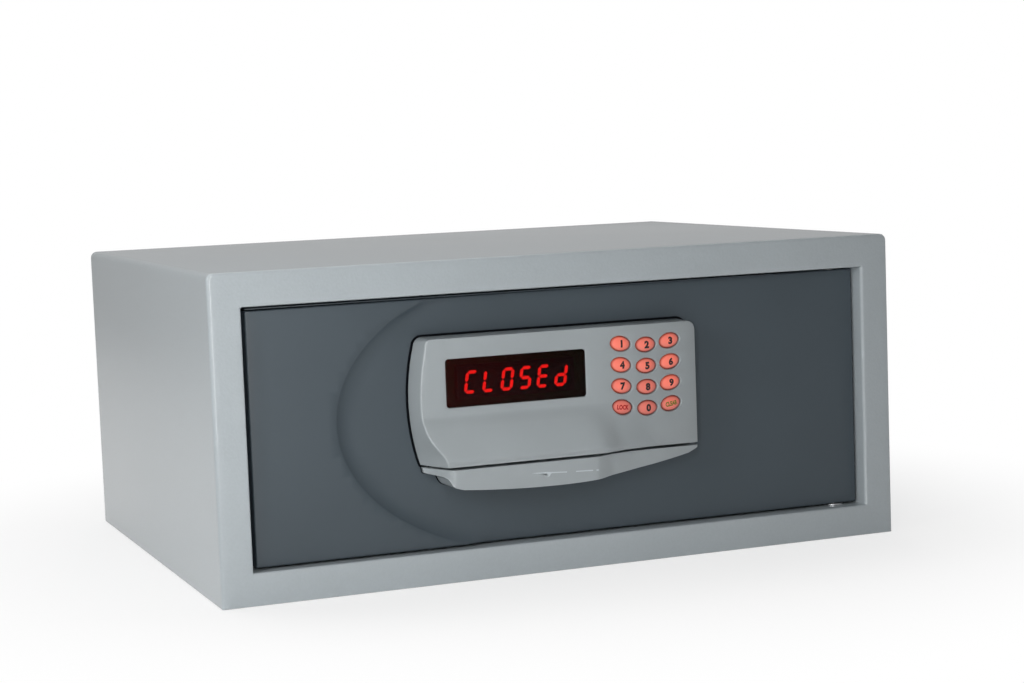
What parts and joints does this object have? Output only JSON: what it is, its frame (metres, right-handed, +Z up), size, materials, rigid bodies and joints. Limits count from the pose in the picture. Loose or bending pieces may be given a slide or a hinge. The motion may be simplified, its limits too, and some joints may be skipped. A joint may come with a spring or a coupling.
{
  "type": "in-room safe",
  "caption": "Steel room safe with a recessed slate door, keypad and card-reader panel, red numeric display, sliding lock bolts and anchor holes.",
  "frame": {"origin": "centre of the cabinet's footprint, on the surface it stands on", "axes": "+Z up, the door faces -Y, +X to the right seen from the front"},
  "size_m": [0.46, 0.3684, 0.2],
  "materials": {
    "cabinet_paint": "orange-peel powder coat, light grey",
    "door_paint": "smooth satin powder coat, slate grey",
    "zinc_steel": "zinc plated",
    "bolt_steel": "ground and plated bolts",
    "motor_steel": "satin",
    "brass": "machined",
    "panel_plastic": "fine satin moulding, light grey",
    "lens_plastic": "polished dark red filter",
    "black_plastic": "moulded",
    "black_foam": "closed-cell foam",
    "key_plastic": "translucent, back-lit",
    "key_rubber": "silicone mat",
    "circuit_board": "solder mask",
    "cable_pvc": "flat cable",
    "cell_wrap": "shrink sleeve",
    "mat_felt": "needle felt"
  },
  "bodies": {
    "cabinet": {"body_wrap": "cabinet_paint", "floor_pan": "cabinet_paint", "back_panel": "cabinet_paint", "front_frame": "cabinet_paint", "bolt_keeper": "zinc_steel", "floor_mat": "mat_felt", "hinge_pin_lower": "zinc_steel", "hinge_pin_upper": "zinc_steel", "hinge_washer": "zinc_steel", "hinge_spacer": "black_plastic"},
    "door": {"door_panel": "door_paint", "hinge_blocks": "zinc_steel", "hinge_bushes": "zinc_steel", "mechanism_plate": "zinc_steel", "inner_cover": "cabinet_paint", "cover_screws": "zinc_steel", "panel_gasket": "black_foam", "control_housing": "panel_plastic", "reader_lip": "panel_plastic", "display_lens": "lens_plastic", "display_module": "black_plastic", "control_board": "circuit_board", "board_screws": "zinc_steel", "housing_screws": "zinc_steel", "keypad_mat": "key_rubber", "reader_head": "zinc_steel", "ribbon_cable": "cable_pvc", "bolt_guides": "zinc_steel", "lock_motor": "motor_steel", "motor_screws": "zinc_steel", "lock_board": "circuit_board", "limit_switch": "black_plastic", "battery_holder": "black_plastic", "batteries": "cell_wrap"},
    "bolts": {"bolt_carriage": "zinc_steel", "locking_bolts": "bolt_steel"},
    "pinion": {"drive_pinion": "brass"},
    "battery_lid": {"battery_cover": "black_plastic"},
    "key_1_cap": {"key_1": "key_plastic"},
    "key_2_cap": {"key_2": "key_plastic"},
    "key_3_cap": {"key_3": "key_plastic"},
    "key_4_cap": {"key_4": "key_plastic"},
    "key_5_cap": {"key_5": "key_plastic"},
    "key_6_cap": {"key_6": "key_plastic"},
    "key_7_cap": {"key_7": "key_plastic"},
    "key_8_cap": {"key_8": "key_plastic"},
    "key_9_cap": {"key_9": "key_plastic"},
    "key_lock_cap": {"key_lock": "key_plastic"},
    "key_0_cap": {"key_0": "key_plastic"},
    "key_clear_cap": {"key_clear": "key_plastic"}
  },
  "joints": [
    {"name": "door_hinge", "type": "hinge", "parent": "cabinet", "child": "door", "pos_m": [0.194, -0.16, 0.0995], "axis": [0, 0, 1], "range_deg": [0, 110]},
    {"name": "bolt_slide", "type": "slide", "parent": "door", "child": "bolts", "axis": [-1, 0, 0], "range_m": [0, 0.015]},
    {"name": "pinion_spin", "type": "hinge", "parent": "door", "child": "pinion", "pos_m": [-0.104, -0.138, 0.11], "axis": [0, 1, 0], "range_deg": [0, 96]},
    {"name": "battery_lid_slide", "type": "slide", "parent": "door", "child": "battery_lid", "axis": [1, 0, 0], "range_m": [0, 0.085]},
    {"name": "key_1_press", "type": "slide", "parent": "door", "child": "key_1_cap", "axis": [0, 1, 0], "range_m": [0, 0.0012], "stiffness_N_per_m": 300},
    {"name": "key_2_press", "type": "slide", "parent": "door", "child": "key_2_cap", "axis": [0, 1, 0], "range_m": [0, 0.0012], "stiffness_N_per_m": 300},
    {"name": "key_3_press", "type": "slide", "parent": "door", "child": "key_3_cap", "axis": [0, 1, 0], "range_m": [0, 0.0012], "stiffness_N_per_m": 300},
    {"name": "key_4_press", "type": "slide", "parent": "door", "child": "key_4_cap", "axis": [0, 1, 0], "range_m": [0, 0.0012], "stiffness_N_per_m": 300},
    {"name": "key_5_press", "type": "slide", "parent": "door", "child": "key_5_cap", "axis": [0, 1, 0], "range_m": [0, 0.0012], "stiffness_N_per_m": 300},
    {"name": "key_6_press", "type": "slide", "parent": "door", "child": "key_6_cap", "axis": [0, 1, 0], "range_m": [0, 0.0012], "stiffness_N_per_m": 300},
    {"name": "key_7_press", "type": "slide", "parent": "door", "child": "key_7_cap", "axis": [0, 1, 0], "range_m": [0, 0.0012], "stiffness_N_per_m": 300},
    {"name": "key_8_press", "type": "slide", "parent": "door", "child": "key_8_cap", "axis": [0, 1, 0], "range_m": [0, 0.0012], "stiffness_N_per_m": 300},
    {"name": "key_9_press", "type": "slide", "parent": "door", "child": "key_9_cap", "axis": [0, 1, 0], "range_m": [0, 0.0012], "stiffness_N_per_m": 300},
    {"name": "key_lock_press", "type": "slide", "parent": "door", "child": "key_lock_cap", "axis": [0, 1, 0], "range_m": [0, 0.0012], "stiffness_N_per_m": 300},
    {"name": "key_0_press", "type": "slide", "parent": "door", "child": "key_0_cap", "axis": [0, 1, 0], "range_m": [0, 0.0012], "stiffness_N_per_m": 300},
    {"name": "key_clear_press", "type": "slide", "parent": "door", "child": "key_clear_cap", "axis": [0, 1, 0], "range_m": [0, 0.0012], "stiffness_N_per_m": 300}
  ],
  "couplings": [
    {"joint": "pinion_spin", "follows": "bolt_slide", "rad_per_m": 111.11}
  ]
}
